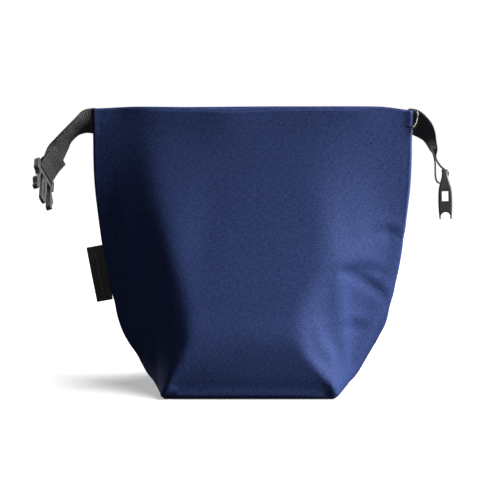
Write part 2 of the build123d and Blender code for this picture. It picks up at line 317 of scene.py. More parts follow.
def coarse_form():
    heights = np.concatenate([[0, 0.002, 0.0045], np.linspace(0.009, TOP, 55)])
    count = 65
    front = np.array([half_section(z, FRONT, count) for z in heights])
    back = np.array([half_section(z, BACK, count) for z in heights])
    front = dented(front, grid_normals(front, FRONT), FRONT_DENTS)
    back = dented(back, grid_normals(back, BACK), BACK_DENTS)
    ends = (0, -1)
    for grid in (front, back):
        grid[0, :, 2] = 0
        for end in ends:
            grid[:, end, 1] = 0
    front, back = simulate(front, back)
    for grid in (front, back):
        grid[:, ends, 1] = 0
        grid[0, :, 2] = GROUND_GAP
        grid[..., 2] = np.maximum(grid[..., 2], GROUND_GAP)
    return heights, front, back


def fine_rows(heights):
    """Fractional rows of the fine grid: closer together where the fabric turns over."""
    wanted = [0.0]
    while wanted[-1] < TOP:
        z = wanted[-1]
        step = STEP
        if ROLL_ZONE[0] - STEP < z < ROLL_ZONE[1] + STEP:
            step = 1.1 * MM
        if z < 4 * MM:
            step = 1.3 * MM
        wanted.append(z + step)
    wanted[-1] = TOP
    return np.array(wanted), np.interp(wanted, heights, np.arange(len(heights)))


def fine(grid, rows_at, cols_at):
    tall = catmull(grid, rows_at)
    return catmull(tall.transpose(1, 0, 2), cols_at).transpose(1, 0, 2)


heights, coarse_front, coarse_back = coarse_form()
fine_heights, rows_at = fine_rows(heights)
cols_at = np.linspace(0, coarse_front.shape[1] - 1, 129)
SKIN = {FRONT: fine(coarse_front, rows_at, cols_at), BACK: fine(coarse_back, rows_at, cols_at)}
SPLIT_ROW = int(np.argmin(np.abs(fine_heights - SPLIT_Z)))


def shape_mouth():
    """The hem stands open a little left of the middle and drops at the corners."""
    for side, grid in SKIN.items():
        x = grid[..., 0]
        near_top = smooth_step(TOP - 60 * MM, TOP, grid[..., 2])
        open_at = np.exp(-(((x + 26 * MM) / (30 * MM)) ** 2))
        wave = 0.35 * MM * np.sin(x / (40 * MM) + 0.5 * side)
        drop = 3.6 * MM * smooth_step(118 * MM, SEAM_X + 4 * MM, x) ** 1.3
        drop = drop + 2.2 * MM * smooth_step(108 * MM, SEAM_X + 4 * MM, -x)
        ends = smooth_step(SEAM_X, SEAM_X - 30 * MM, np.abs(x))
        pinch = (1 - open_at) * ends
        grid[..., 2] += near_top * (wave - drop - (1.4 if side == FRONT else 0.0) * MM * open_at)
        grid[..., 1] += side * near_top * (0.9 * open_at - 1.2 * pinch) * MM


shape_mouth()
NORMALS = {side: grid_normals(grid, side) for side, grid in SKIN.items()}


def inner_surface(side, depth, least):
    """The skin moved inwards by depth, ending where it would meet the plane of the seams."""
    moved = SKIN[side] - NORMALS[side] * depth
    count = moved.shape[1]
    result = moved.copy()
    for r, line in enumerate(moved):
        room = side * line[:, 1] - least
        middle = count // 2
        room[middle] = max(room[middle], 1e-6)
        below = np.where(room[:middle] <= 0)[0]
        start = 0.0
        if len(below):
            i = below[-1]
            start = i + room[i] / (room[i] - room[i + 1])
        below = np.where(room[middle:] <= 0)[0]
        end = count - 1.0
        if len(below):
            i = middle + below[0]
            end = i - room[i] / (room[i] - room[i - 1])
        at = start + (end - start) * np.arange(count) / (count - 1)
        i = np.minimum(at.astype(int), count - 2)
        t = (at - i)[:, None]
        result[r] = line[i] * (1 - t) + line[i + 1] * t
        result[r, :, 1] = side * np.maximum(side * result[r, :, 1], least)
    return result


# ---- materials
def new_material(name):
    material = bpy.data.materials.new(name)
    material.use_nodes = True
    return material, material.node_tree, material.node_tree.nodes["Principled BSDF"]


def put(node, values):
    for name, value in values.items():
        node.inputs[name].default_value = value


def math_node(tree, operation, *values):
    node = tree.nodes.new("ShaderNodeMath")
    node.operation = operation
    for i, value in enumerate(values):
        if isinstance(value, (int, float)):
            node.inputs[i].default_value = value
        else:
            tree.links.new(value, node.inputs[i])
    return node.outputs[0]


def weighted(tree, first, *others):
    """The sum of (value, share) pairs."""
    total = math_node(tree, "MULTIPLY", *first)
    for value, share in others:
        total = math_node(tree, "MULTIPLY_ADD", value, share, total)
    return total


def noise_node(tree, vector, scale, detail=3.0, rough=0.5):
    node = tree.nodes.new("ShaderNodeTexNoise")
    put(node, {"Scale": scale, "Detail": detail, "Roughness": rough})
    tree.links.new(vector, node.inputs["Vector"])
    return node.outputs["Fac"]


def cell_node(tree, vector, scale):
    node = tree.nodes.new("ShaderNodeTexVoronoi")
    put(node, {"Scale": scale})
    tree.links.new(vector, node.inputs["Vector"])
    return node.outputs["Distance"]


def ramp_node(tree, factor, stops):
    node = tree.nodes.new("ShaderNodeValToRGB")
    while len(node.color_ramp.elements) < len(stops):
        node.color_ramp.elements.new(0.5)
    for element, (place, colour) in zip(node.color_ramp.elements, stops):
        element.position = place
        element.color = (*colour, 1)
    tree.links.new(factor, node.inputs["Fac"])
    return node.outputs["Color"]


def bump_node(tree, height, strength, distance, before=None):
    node = tree.nodes.new("ShaderNodeBump")
    put(node, {"Strength": strength, "Distance": distance})
    tree.links.new(height, node.inputs["Height"])
    if before is not None:
        tree.links.new(before, node.inputs["Normal"])
    return node.outputs["Normal"]


def weave_height(tree, vector, warp, weft):
    """Over-and-under threads: two crossing waves, warp and weft threads per metre."""
    split = tree.nodes.new("ShaderNodeSeparateXYZ")
    tree.links.new(vector, split.inputs[0])
    u = math_node(tree, "MULTIPLY", split.outputs[0], warp * math.pi)
    v = math_node(tree, "MULTIPLY", split.outputs[1], weft * math.pi)
    sin_u, sin_v = math_node(tree, "SINE", u), math_node(tree, "SINE", v)
    product = math_node(tree, "MULTIPLY", sin_u, sin_v)
    mixer = tree.nodes.new("ShaderNodeMix")
    tree.links.new(math_node(tree, "GREATER_THAN", product, 0.0), mixer.inputs[0])
    tree.links.new(math_node(tree, "ABSOLUTE", sin_u), mixer.inputs[2])
    tree.links.new(math_node(tree, "ABSOLUTE", sin_v), mixer.inputs[3])
    return mixer.outputs[0]


def stretched(tree, vector, across, along):
    """The coordinate scaled by so many cells a metre each way."""
    node = tree.nodes.new("ShaderNodeVectorMath")
    node.operation = "MULTIPLY"
    node.inputs[1].default_value = (across, along, 1)
    tree.links.new(vector, node.inputs[0])
    return node.outputs[0]


def uv_vector(tree):
    node = tree.nodes.new("ShaderNodeUVMap")
    node.uv_map = "cloth"
    return node.outputs["UV"]


def object_vector(tree):
    return tree.nodes.new("ShaderNodeTexCoord").outputs["Object"]


def surface(tree, shader, factor, tones, rough, normal):
    """Joins tones by a factor, roughness (a value, its share and base) and normal to the shader."""
    tree.links.new(ramp_node(tree, factor, tones), shader.inputs["Base Color"])
    tree.links.new(math_node(tree, "MULTIPLY_ADD", *rough), shader.inputs["Roughness"])
    tree.links.new(normal, shader.inputs["Normal"])


def navy_cloth():
    material, tree, shader = new_material("navy polyester")
    cloth_uv, place = uv_vector(tree), object_vector(tree)
    weave = weave_height(tree, cloth_uv, 1500, 1300)
    slub = noise_node(tree, stretched(tree, cloth_uv, 260, 900), 1, 2, 0.6)
    slub_up = noise_node(tree, stretched(tree, cloth_uv, 900, 260), 1, 2, 0.6)
    grain = noise_node(tree, stretched(tree, cloth_uv, 620, 620), 1, 2, 0.8)
    broad = noise_node(tree, place, 9, 3, 0.5)
    mixed = weighted(tree, (weave, 0.16), (slub, 0.34), (slub_up, 0.24), (grain, 0.34), (broad, 0.06))
    put(shader, {"Sheen Weight": 0.03, "Sheen Roughness": 0.42, "Sheen Tint": (0.45, 0.55, 1.0, 1)})
    put(shader, {"Specular IOR Level": 0.16})
    fine_bump = bump_node(tree, mixed, 0.55, 0.0004)
    pucker = bump_node(tree, noise_node(tree, place, 60, 4, 0.55), 0.12, 0.002, fine_bump)
    surface(tree, shader, mixed, NAVY_TONES, (grain, 0.22, 0.62), pucker)
    return material


def black_webbing():
    material, tree, shader = new_material("black webbing")
    ribs = weave_height(tree, uv_vector(tree), 620, 600)
    fuzz = noise_node(tree, object_vector(tree), 900, 3, 0.6)
    mixed = weighted(tree, (ribs, 0.6), (fuzz, 0.4))
    tones = [(0.25, (0.003, 0.003, 0.0034)), (0.6, (0.013, 0.013, 0.014)), (0.85, (0.040, 0.040, 0.042))]
    put(shader, {"Sheen Weight": 0.25, "Specular IOR Level": 0.4})
    surface(tree, shader, mixed, tones, (fuzz, 0.25, 0.5), bump_node(tree, mixed, 0.8, 0.0005))
    return material


def buckle_plastic():
    material, tree, shader = new_material("moulded acetal")
    place = object_vector(tree)
    grain = noise_node(tree, place, 2600, 2, 0.5)
    broad = noise_node(tree, place, 120, 4, 0.6)
    scuffs = noise_node(tree, place, 420, 6, 0.75)
    mixed = weighted(tree, (broad, 0.6), (scuffs, 0.4))
    tones = [(0.3, (0.050, 0.051, 0.053)), (0.55, (0.075, 0.076, 0.078)), (0.75, (0.12, 0.121, 0.123))]
    surface(tree, shader, mixed, tones, (scuffs, 0.3, 0.28), bump_node(tree, grain, 0.25, 0.00015))
    return material


def silver_liner():
    material, tree, shader = new_material("wipe-clean liner")
    place = object_vector(tree)
    crinkle = noise_node(tree, place, 70, 5, 0.6)
    tones = [(0.3, (0.42, 0.43, 0.44)), (0.7, (0.60, 0.61, 0.62))]
    put(shader, {"Metallic": 0.35})
    first = bump_node(tree, cell_node(tree, place, 260), 0.2, 0.0006)
    creases = bump_node(tree, crinkle, 0.35, 0.003, first)
    surface(tree, shader, crinkle, tones, (crinkle, 0.3, 0.2), creases)
    return material


def pale_foam():
    material, tree, shader = new_material("closed-cell foam")
    place = object_vector(tree)
    tone = noise_node(tree, place, 90, 3)
    tones = [(0.3, (0.70, 0.68, 0.60)), (0.7, (0.82, 0.80, 0.72))]
    cells = bump_node(tree, cell_node(tree, place, 1100), 0.5, 0.0004)
    surface(tree, shader, tone, tones, (tone, 0.1, 0.82), cells)
    return material


def board_plastic():
    material, tree, shader = new_material("base board")
    grain = noise_node(tree, object_vector(tree), 700, 4, 0.6)
    tones = [(0.3, (0.018, 0.018, 0.02)), (0.7, (0.035, 0.035, 0.037))]
    surface(tree, shader, grain, tones, (grain, 0.2, 0.45), bump_node(tree, grain, 0.3, 0.0003))
    return material


def woven_label():
    material, tree, shader = new_material("woven label")
    cloth_uv = uv_vector(tree)
    fuzz = noise_node(tree, cloth_uv, 1400, 3)
    mixed = weighted(tree, (weave_height(tree, cloth_uv, 3600, 2600), 0.6), (fuzz, 0.4))
    tones = [(0.2, (0.0045, 0.0045, 0.0055)), (0.8, (0.018, 0.018, 0.021))]
    put(shader, {"Sheen Weight": 0.2})
    surface(tree, shader, mixed, tones, (fuzz, 0.2, 0.45), bump_node(tree, mixed, 0.5, 0.0003))
    return material


def thread(name, dark, light):
    material, tree, shader = new_material(name)
    twist = noise_node(tree, object_vector(tree), 3000, 2)
    tones = [(0.3, dark), (0.7, light)]
    surface(tree, shader, twist, tones, (twist, 0.2, 0.5), bump_node(tree, twist, 0.4, 0.0002))
    return material


NAVY = navy_cloth()
WEBBING = black_webbing()
PLASTIC = buckle_plastic()
LINER = silver_liner()
FOAM = pale_foam()
BOARD = board_plastic()
LABEL = woven_label()
NAVY_THREAD = thread("navy thread", (0.05, 0.07, 0.20), (0.12, 0.15, 0.36))
BLACK_THREAD = thread("black thread", (0.006, 0.006, 0.007), (0.03, 0.03, 0.032))
PALE_THREAD = thread("pale thread", (0.30, 0.31, 0.33), (0.55, 0.56, 0.58))
CREAM = thread("cream cut edge", (0.62, 0.58, 0.46), (0.80, 0.77, 0.66))


# ---- the bag's layers
def cloth_uvs(grid):
    """Distances along and up the cloth, so that the weave keeps its size all over."""
    across = np.linalg.norm(np.diff(grid, axis=1), axis=2)
    up = np.linalg.norm(np.diff(grid, axis=0), axis=2)
    u = np.zeros(grid.shape[:2])
    v = np.zeros(grid.shape[:2])
    u[:, 1:] = np.cumsum(across, axis=1)
    v[1:] = np.cumsum(up, axis=0)
    u -= u[:, u.shape[1] // 2][:, None]
    v = np.broadcast_to(v.mean(axis=1)[:, None], v.shape)
    return np.stack([u, v], axis=2)


def slab_between(name, outer, inner, side, material):
    """A closed sheet between two grids of the same size."""
    rows, cols = outer.shape[:2]
    size = rows * cols
    flip = side == BACK
    faces = grid_faces(rows, cols, 0, flip) + grid_faces(rows, cols, size, not flip)
    loop = list(range(cols)) + [r * cols + cols - 1 for r in range(1, rows)]
    loop += [(rows - 1) * cols + c for c in range(cols - 2, -1, -1)]
    loop += [r * cols for r in range(rows - 2, 0, -1)]
    for a, b in zip(loop, loop[1:] + loop[:1]):
        quad = (b, a, a + size, b + size)
        faces.append(quad[::-1] if flip else quad)
    points = np.concatenate([outer.reshape(-1, 3), inner.reshape(-1, 3)])
    uvs = np.concatenate([cloth_uvs(outer).reshape(-1, 2), cloth_uvs(inner).reshape(-1, 2)])
    obj = piece(name, points, faces, material, uvs)
    on_rim = np.zeros(len(points), bool)
    on_rim[loop] = True
    on_rim[np.array(loop) + size] = True
    same = np.arange(len(points)) < size
    edges = np.zeros(len(obj.data.edges) * 2, np.int32)
    obj.data.edges.foreach_get("vertices", edges)
    a, b = edges.reshape(-1, 2).T
    obj.data.edges.foreach_set("use_edge_sharp", on_rim[a] & on_rim[b] & (same[a] == same[b]))
    return obj


def with_allowance(grid, side):
    """Adds the strip turned in at both side seams, open just enough for the webbing's end."""
    grid = grid.copy()
    z = grid[..., 2]
    caught = smooth_step(STRAP_Z - 17 * MM, STRAP_Z - 12 * MM, z)
    caught = caught * smooth_step(TOP + 2 * MM, STRAP_Z + 12 * MM, z)
    caught = caught * smooth_step(SEAM_X - 6 * MM, SEAM_X - 3 * MM, np.abs(grid[..., 0]))
    room = SEAM_HAIR + WEB_ROOM * caught
    grid[..., 1] = side * np.maximum(side * grid[..., 1], room)
    turned = []
    for end, inwards in ((0, 1), (-1, -1)):
        grid[:, end, 1] = side * room[:, end]
        strip = grid[:, end].copy()
        strip[:, 0] += inwards * ALLOWANCE
        strip[:, 1] -= side * ALLOWANCE_LEAN
        turned.append(strip[:, None])
    return np.concatenate([turned[0], grid, turned[1]], axis=1)


def outer_panel(name, side):
    rows = slice(0, SPLIT_ROW + 1)
    outer = with_allowance(SKIN[side][rows], side)
    normal = NORMALS[side][rows]
    normal = np.concatenate([normal[:, :1], normal, normal[:, -1:]], axis=1)
    inner = outer - normal * CLOTH
    too_near = side * inner[..., 1] < INSIDE_GAP
    inner[..., 1] = np.where(too_near, side * INSIDE_GAP, inner[..., 1])
    return slab_between(name, outer, inner, side, NAVY)


def mouth_path(side):
    """The top of a panel: up the outside, over the hem and down the inside."""
    outside = SKIN[side][SPLIT_ROW:]
    depth = np.minimum(HEM_DEPTH, np.maximum(side * SKIN[side][-1, :, 1] - 0.4 * MM, 0.5 * MM))
    round_r = depth / 2
    top = SKIN[side][-1]
    flat = NORMALS[side][-1].copy()
    flat[:, 2] = 0
    flat = unit(unit(flat) * 0.25 + np.array([0, side, 0]) * 0.75)
    strips = [outside[:-1]]
    for turn in np.linspace(0, math.pi, 9):
        centre = top - flat * round_r[:, None]
        centre[:, 2] -= round_r
        row = centre + flat * (round_r * math.cos(turn))[:, None]
        row[:, 2] += round_r * math.sin(turn)
        strips.append(row[None])
    last = strips[-1][0]
    for drop in np.linspace(2.5 * MM, HEM_TURN, 6):
        row = last.copy()
        row[:, 2] -= drop
        spread = np.interp(drop, [0, HEM_TURN], [0, 1.3 * MM])
        row[:, 1] += side * spread * np.minimum(1, round_r / (HEM_DEPTH / 2))
        strips.append(row[None])
    return np.concatenate(strips)


def mouth_panel(name, side):
    path = mouth_path(side)
    across = np.gradient(path, axis=1)
    along = np.gradient(path, axis=0)
    normal = unit(np.cross(across, along)) * (1 if side == FRONT else -1)
    outer = with_allowance(path, side)
    normal = np.concatenate([normal[:, :1], normal, normal[:, -1:]], axis=1)
    inner = outer - normal * CLOTH
    return slab_between(name, outer, inner, side, NAVY)


def every_other(grid):
    cols = np.unique(np.concatenate([np.arange(0, grid.shape[1], 2), [grid.shape[1] - 1]]))
    return grid[:, cols]


def inner_layer(name, side, kind, rows):
    depths, least, material = kind
    outer, inner = (every_other(inner_surface(side, depths[i], least[i])[rows]) for i in (0, 1))
    return slab_between(name, outer, inner, side, material)


def fade_to_corners(obj):
    """The corners stay sewn shut, so the lip's share of the turn fades out towards the seams."""
    points = np.array([v.co for v in obj.data.vertices], float)
    weights = np.zeros(len(points), np.float32)
    data = obj.data.attributes["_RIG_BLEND"].data
    data.foreach_get("value", weights)
    fade = smooth_step(CORNER_FADE[0], CORNER_FADE[1], np.abs(points[:, 0]))
    data.foreach_set("value", (weights * fade).astype(np.float32))


def over_the_roll(obj):
    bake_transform(obj, "bag_body", "crown", start=(0, 0, ROLL_ZONE[0]), end=(0, 0, ROLL_ZONE[1]))


def over_the_lip(obj, side):
    lip = "front_lip" if side == FRONT else "back_lip"
    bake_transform(obj, "crown", lip, start=(0, 0, LIP_ZONE[0]), end=(0, 0, LIP_ZONE[1]))
    fade_to_corners(obj)


def stands_for(obj, slot, *nodes):
    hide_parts(*nodes)


FOAM_LAYER = ((FOAM_OUT, FOAM_IN), (0.5 * MM, 0.3 * MM), FOAM)
LINER_LAYER = ((LINER_OUT, LINER_IN), (0.25 * MM, 0.15 * MM), LINER)
FOAM_START = int(np.searchsorted(fine_heights, 3 * MM))
LINER_START = int(np.searchsorted(fine_heights, 7 * MM))
FOAM_END = int(np.searchsorted(fine_heights, TOP - 4 * MM))
LINER_END = int(np.searchsorted(fine_heights, TOP - 3 * MM))

for word, side in (("front", FRONT), ("back", BACK)):
    lower = outer_panel(f"bag_{word}", side)
    over_the_roll(lower)
    stands_for(lower, "outer_fabric", f"outer_{word}", f"crown_outer_{word}")

    upper = mouth_panel(f"mouth_{word}", side)
    over_the_lip(upper, side)
    stands_for(upper, "outer_fabric", f"lip_outer_{word}", f"hem_{word}")

    foam = inner_layer(f"foam_wall_{word}", side, FOAM_LAYER, slice(FOAM_START, SPLIT_ROW + 1))
    over_the_roll(foam)
    stands_for(foam, "foam", f"foam_{word}", f"crown_foam_{word}")

    foam = inner_layer(f"foam_mouth_{word}", side, FOAM_LAYER, slice(SPLIT_ROW, FOAM_END))
    over_the_lip(foam, side)
    stands_for(foam, "foam", f"lip_foam_{word}")

    liner = inner_layer(f"liner_wall_{word}", side, LINER_LAYER, slice(LINER_START, SPLIT_ROW + 1))
    over_the_roll(liner)
    stands_for(liner, "liner", f"liner_{word}", f"crown_liner_{word}")

    liner = inner_layer(f"liner_mouth_{word}", side, LINER_LAYER, slice(SPLIT_ROW, LINER_END))
    over_the_lip(liner, side)
    stands_for(liner, "liner", f"lip_liner_{word}")


# ---- the base
def base_loop(inset):
    """The base's outline, moved inwards."""
    loop = np.concatenate([SKIN[FRONT][0], SKIN[BACK][0][::-1][1:-1]])
    loop = loop[::2].copy()
    return loop - unit(loop * np.array([1, 1, 0])) * inset


def base_sheet(name, node, slot, inset, low, high, material, sag=0.0):
    """A flat closed layer with eased edges, a little uneven as cloth is; its sizes are in mm."""
    low, high, sag = low * MM, high * MM, sag * MM
    loop = base_loop(inset * MM)
    count = len(loop)
    shares = [1.0, 0.985, 0.93, 0.8, 0.6, 0.4, 0.2]
    rings = []
    for level, order in ((high, shares), (low, shares[::-1])):
        for share in order:
            ring = loop * share
            ring[:, 2] = level + sag * (1 - share**4)
            rings.append(ring)
    points = [tuple(p) for p in np.concatenate(rings)]
    # the innermost rings are closed by fans round a middle point
    inmost = (len(shares) - 1) * count
    faces = [f for f in grid_faces(len(rings), count, wrap=True) if not inmost <= f[0] < inmost + count]
    top_index = len(points)
    points += [(0, 0, high + sag), (0, 0, low + sag)]
    last = (len(rings) - 1) * count
    for i in range(count):
        j = (i + 1) % count
        faces.append((inmost + i, inmost + j, top_index))
        faces.append((inmost + count + j, inmost + count + i, top_index + 1))
    faces += [(last + i, last + (i + 1) % count, (i + 1) % count, i) for i in range(count)]
    obj = piece(name, points, faces, material, [p[:2] for p in points])
    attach(obj, "bag_body")
    stands_for(obj, slot, node)
    return obj


base = base_sheet("base_panel", "outer_base", "outer_fabric", 0.3, 0.0, 0.7, NAVY, 0.25)
base_sheet("stiffening_board", "base_board", "base_board", 2.5, 1.1, 2.5, BOARD)
base_sheet("foam_floor", "foam_base", "foam", 5.0, 2.7, 6.0, FOAM)
floor_liner = base_sheet("liner_floor", "liner_base", "liner", 5.5, 6.2, 6.6, LINER)


# ---- stitches
def stitch_mesh(start, end, normal, thick):
    """One raised stitch: a short rounded thread that dips at both ends."""
    start, end, normal = (np.asarray(v, float) for v in (start, end, normal))
    along = unit(end - start)
    sideways = unit(np.cross(along, normal))
    points, sides = [], 6
    shares = [0.0, 0.18, 0.5, 0.82, 1.0]
    for share in shares:
        arch = math.sin(math.pi * share)
        centre = start + (end - start) * share + normal * thick * (0.75 * arch - 0.35)
        radius = thick * (0.35 + 0.25 * arch)
        for k in range(sides):
            turn = 2 * math.pi * k / sides
            points.append(centre + sideways * radius * math.cos(turn) + normal * radius * math.sin(turn))
    faces = grid_faces(len(shares), sides, wrap=True)
    faces.append(tuple(range(sides))[::-1])
    faces.append(tuple(len(points) - sides + k for k in range(sides)))
    return points, faces


def stitch_row(name, line, normals, material, pitch=3.1 * MM, length=2.4 * MM, thick=0.42 * MM):
    """Stitches along a line of points on the cloth."""
    steps = np.linalg.norm(np.diff(line, axis=0), axis=1)
    along = np.concatenate([[0], np.cumsum(steps)])
    parts = []
    place = pitch / 2
    while place + length < along[-1]:
        ends = []
        for at in (place, place + length):
            ends.append(np.array([np.interp(at, along, line[:, k]) for k in range(3)]))
        normal = unit([np.interp(place, along, normals[:, k]) for k in range(3)])
        parts.append(stitch_mesh(ends[0], ends[1], normal, thick))
        place += pitch
    points, faces = join_meshes(parts)
    return piece(name, points, faces, material)


def hem_stitches(name, side):
    """A row of topstitching a little under the hem's edge."""
    height = TOP - HEM_STITCH_DROP
    row = int(np.argmin(np.abs(fine_heights - height)))
    share = (fine_heights[row] - height) / STEP
    a, b = SKIN[side][row], SKIN[side][max(row - 1, 0)]
    line = a + (b - a) * share
    inside = slice(2, -2)
    obj = stitch_row(name, line[inside], NORMALS[side][row][inside], NAVY_THREAD)
    over_the_lip(obj, side)


for word, side in (("front", FRONT), ("back", BACK)):
    hem_stitches(f"hem_stitches_{word}", side)


# ---- the webbing
def ribbon(name, centres, wides, material, half=WEB_HALF, thick=WEB, rib=0.24 * MM, pitch=1.7 * MM):
    """Flat webbing along a line of points, with its cross ribs and rounded selvedges."""
    centres, wides = np.asarray(centres), unit(wides)
    along = unit(np.gradient(centres, axis=0))
    wides = unit(wides - along * (wides * along).sum(axis=1, keepdims=True))
    faces_out = unit(np.cross(along, wides))
    steps = np.linalg.norm(np.diff(centres, axis=0), axis=1)
    travel = np.concatenate([[0], np.cumsum(steps)])
    lanes = [-1 + 2 * k / 14 for k in range(15)]
    profile = [(x, 1 - 0.35 * abs(x) ** 14) for x in lanes]
    outline = [(x, h) for x, h in profile] + [(x, -h) for x, h in reversed(profile)]
    points, uvs = [], []
    for i, centre in enumerate(centres):
        ripple = math.cos(2 * math.pi * travel[i] / pitch)
        grown = thick / 2 + rib * ripple
        for x, h in outline:
            points.append(centre + wides[i] * half * x + faces_out[i] * grown * h)
            uvs.append((half * x, travel[i]))
    count = len(outline)
    faces = grid_faces(len(centres), count, wrap=True)
    faces.append(tuple(range(count))[::-1])
    faces.append(tuple(len(points) - count + k for k in range(count)))
    return piece(name, points, faces, material, uvs)


def spaced(points, values, step):
    """A smooth line through points, evenly spaced, with the values carried along it."""
    dense_at = np.linspace(0, len(points) - 1, 60 * (len(points) - 1))
    dense, carried = catmull(points, dense_at), catmull(values, dense_at)
    steps = np.linalg.norm(np.diff(dense, axis=0), axis=1)
    along = np.concatenate([[0], np.cumsum(steps)])
    at = np.linspace(0, along[-1], int(along[-1] / step) + 1)
    line = np.stack([np.interp(at, along, dense[:, k]) for k in range(3)], axis=1)
    wide = np.stack([np.interp(at, along, carried[:, k]) for k in range(3)], axis=1)
    return line, wide


LEFT_BAR = np.array(JOINTS["male_buckle_pivot"]["pos_m"])
LEFT_LINE = unit(JOINTS["male_buckle_pivot"]["axis"])
RIGHT_BAR = np.array(JOINTS["female_buckle_pivot"]["pos_m"])
RIGHT_LINE = unit(JOINTS["female_buckle_pivot"]["axis"])
# the left webbing's direction at its bar, the part of it square to the bar, and the one square to both
ARRIVE = unit((-0.50, -0.60, -0.65))
INTO = unit(ARRIVE - LEFT_LINE * (ARRIVE @ LEFT_LINE))
OUT = unit(np.cross(INTO, LEFT_LINE))


def left_webbing():
    """From the seam, twisting forwards and down to a sewn loop round the male buckle's bar."""
    down = (0, 0, -1)
    route = [((-155.4, 0, 265), down), ((-158, 0, 265), down), ((-163.5, -0.4, 264), (1.5, 7, -23))]
    route += [((-169.5, -1.5, 261), (4.9, 17.7, -17)), ((-176.8, -2.6, 256), (6.6, 21.8, -10.4))]
    route += [((-185.2, -3.2, 247.6), (8.3, 22.2, -8.6)), ((-190.4, -3.6, 240), (10.8, 19.5, -11))]
    route += [((-194.6, -5, 233), (11, 16.5, -15))]
    line = [np.array(p) * MM for p, _ in route]
    wide = [unit(w) for _, w in route]
    loop_r = 3.1 * MM
    for back, apart in ((14, 0.78), (7.5, 1.7)):
        line.append(LEFT_BAR - INTO * back * MM - OUT * apart * MM)
        wide.append(LEFT_LINE)
    for turn in np.linspace(-90, 90, 7):
        turn = math.radians(turn)
        line.append(LEFT_BAR + INTO * loop_r * math.cos(turn) + OUT * loop_r * math.sin(turn))
        wide.append(LEFT_LINE)
    for back, apart in ((5, 2.5), (9, 1.6), (14, 1.0), (19, 1.1), (25.5, 1.5)):
        line.append(LEFT_BAR - INTO * back * MM + OUT * apart * MM)
        wide.append(LEFT_LINE)
    return spaced(np.array(line), np.array(wide), RIB_STEP)


def right_webbing():
    """From the seam, turning on edge and down to a slack loop round the female buckle's bar."""
    down = (0, 0, -1)
    route = [((155.4, 0, 264.4), down), ((158, 0, 264.4), down)]
    route += [((163.6, -0.3, 261.2), (-2.5, 9.5, -23))]
    route += [((169.3, -0.5, 256.2), (-4, 14.5, -20)), ((173.9, -0.5, 250), (-4, 19.3, -15.2))]
    route += [((177.1, -0.3, 243), (-3, 22.6, -10)), ((179.7, 0, 235.8), (-1.5, 24, -6.5))]
    line = [np.array(p) * MM for p, _ in route]
    wide = [unit(w) for _, w in route]
    # the loop, from the sewn joint over the bar, slack below it and up again
    loop = [(-9.4, 16.4), (-7.2, 11.6), (-3.8, 7.2), (0.2, 3.6), (3.0, 1.2), (3.0, -2.2), (0.6, -5.8)]
    loop += [(-2.6, -8.3), (-5.6, -8.9), (-8.0, -6.6), (-9.2, -2.0), (-9.5, 4.4), (-9.6, 10.0)]
    loop += [(-10.6, 16.0), (-12.2, 21.4), (-13.6, 25.6)]
    for x, z in loop:
        line.append(RIGHT_BAR + np.array([x, 0, z]) * MM)
        wide.append(RIGHT_LINE)
    return spaced(np.array(line), np.array(wide), RIB_STEP)


def swings_at_seam(obj, strap, side):
    x = side * SEAM_X
    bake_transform(obj, "crown", strap, start=(x - side * 3 * MM, 0, 0), end=(x + side * 9 * MM, 0, 0))


def bar_tack(name, centre, wide, along, out, material, rows=2, half=10.5 * MM, gap=6 * MM):
    """The sewn box that holds the folded end: close stitches across the webbing."""
    parts = []
    for r in range(rows):
        for k in range(15):
            place = -half + 2 * half * k / 14
            slant = 0.35 * MM if k % 2 else -0.35 * MM
            start = centre + wide * place + along * (r * gap - 0.9 * MM) + out * 0.1 * MM
            end = centre + wide * (place + slant) + along * (r * gap + 0.9 * MM) + out * 0.1 * MM
            parts.append(stitch_mesh(start, end, out, 0.4 * MM))
    points, faces = join_meshes(parts)
    obj = piece(name, points, faces, material)
    return obj


left_line, left_wide = left_webbing()
left = ribbon("left_webbing", left_line, left_wide, WEBBING)
swings_at_seam(left, "left_strap", -1)
stands_for(left, "webbing", "webbing_left", "webbing_tail_left")
right_line, right_wide = right_webbing()
joint_at = RIGHT_BAR + np.array([-9.4, 0, 17.0]) * MM
sewn = int(np.argmin(np.linalg.norm(right_line[: len(right_line) // 2] - joint_at, axis=1)))
right = ribbon("right_webbing", right_line[: sewn + 1], right_wide[: sewn + 1], WEBBING)
swings_at_seam(right, "right_strap", 1)
stands_for(right, "webbing", "webbing_right", "webbing_tail_right")
# the slack loop turns with the buckle at its lower end
right_loop = ribbon("right_webbing_loop", right_line[sewn:], right_wide[sewn:], WEBBING)
bar_z = RIGHT_BAR[2]
loop_top, loop_end = (0, 0, bar_z + 16 * MM), (0, 0, bar_z - 1 * MM)
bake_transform(right_loop, "right_strap", "female_buckle", start=loop_top, end=loop_end)

tack_at = LEFT_BAR - INTO * 19 * MM + OUT * (1.1 * MM + WEB / 2)
tack = bar_tack("left_bar_tack", tack_at, LEFT_LINE, INTO, OUT, BLACK_THREAD)
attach(tack, "left_strap")
down = unit((0.3, 0, -0.95))
side_out = unit(np.cross(down, RIGHT_LINE))
tack_at = joint_at - side_out * (WEB / 2 + 0.2 * MM)
tack = bar_tack("right_bar_tack", tack_at, RIGHT_LINE, down, -side_out, BLACK_THREAD, 1)
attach(tack, "right_strap")


